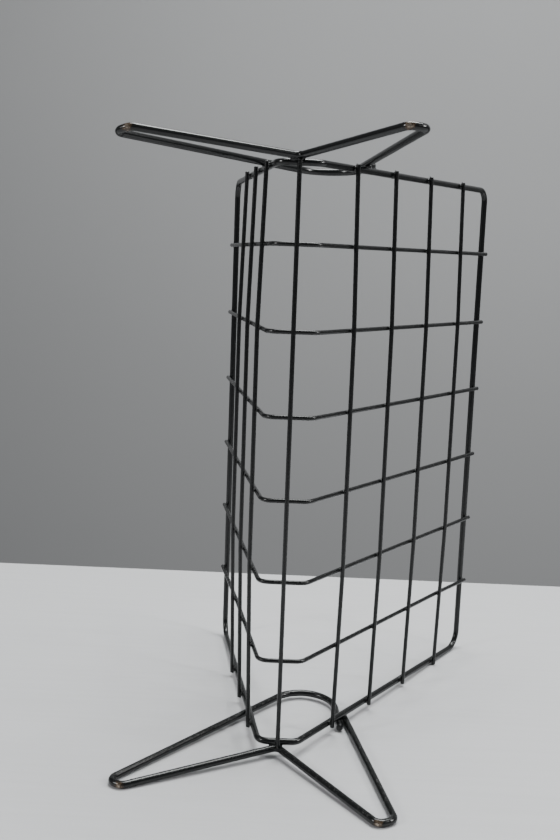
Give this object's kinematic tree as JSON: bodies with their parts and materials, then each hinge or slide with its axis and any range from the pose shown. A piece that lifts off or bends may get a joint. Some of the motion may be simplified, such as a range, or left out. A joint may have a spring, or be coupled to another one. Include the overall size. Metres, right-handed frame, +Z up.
{
  "type": "newspaper rack",
  "caption": "V-shaped trough of welded black steel wire with bent wire legs at both ends, for newspapers and magazines, shown standing on end.",
  "frame": {"origin": "middle of the footprint, on the floor that the rack stands on when it is stood on end", "axes": "+Z up, along the trough, which leans back 2 degrees; +Y from the bottom of the V to its mouth; +X towards the longer side. In use the rack lies over onto its four foot bends, with -Y down and the mouth up"},
  "size_m": [0.2086, 0.3106, 0.4133],
  "materials": {
    "lacquered_thin_wire": "satin",
    "lacquered_frame_wire": "satin",
    "lacquered_leg_wire": "satin"
  },
  "bodies": {
    "root": {"centre_wire": "lacquered_thin_wire", "cross_rib_1": "lacquered_thin_wire", "cross_rib_2": "lacquered_thin_wire", "cross_rib_3": "lacquered_thin_wire", "cross_rib_4": "lacquered_thin_wire", "cross_rib_5": "lacquered_thin_wire", "cross_rib_6": "lacquered_thin_wire", "leg_loop_lower": "lacquered_leg_wire", "leg_loop_upper": "lacquered_leg_wire", "long_side_wire_1": "lacquered_thin_wire", "long_side_wire_2": "lacquered_thin_wire", "long_side_wire_3": "lacquered_thin_wire", "long_side_wire_4": "lacquered_thin_wire", "rim_frame": "lacquered_frame_wire", "short_side_wire_1": "lacquered_thin_wire", "short_side_wire_2": "lacquered_thin_wire", "short_side_wire_3": "lacquered_thin_wire"}
  },
  "joints": []
}
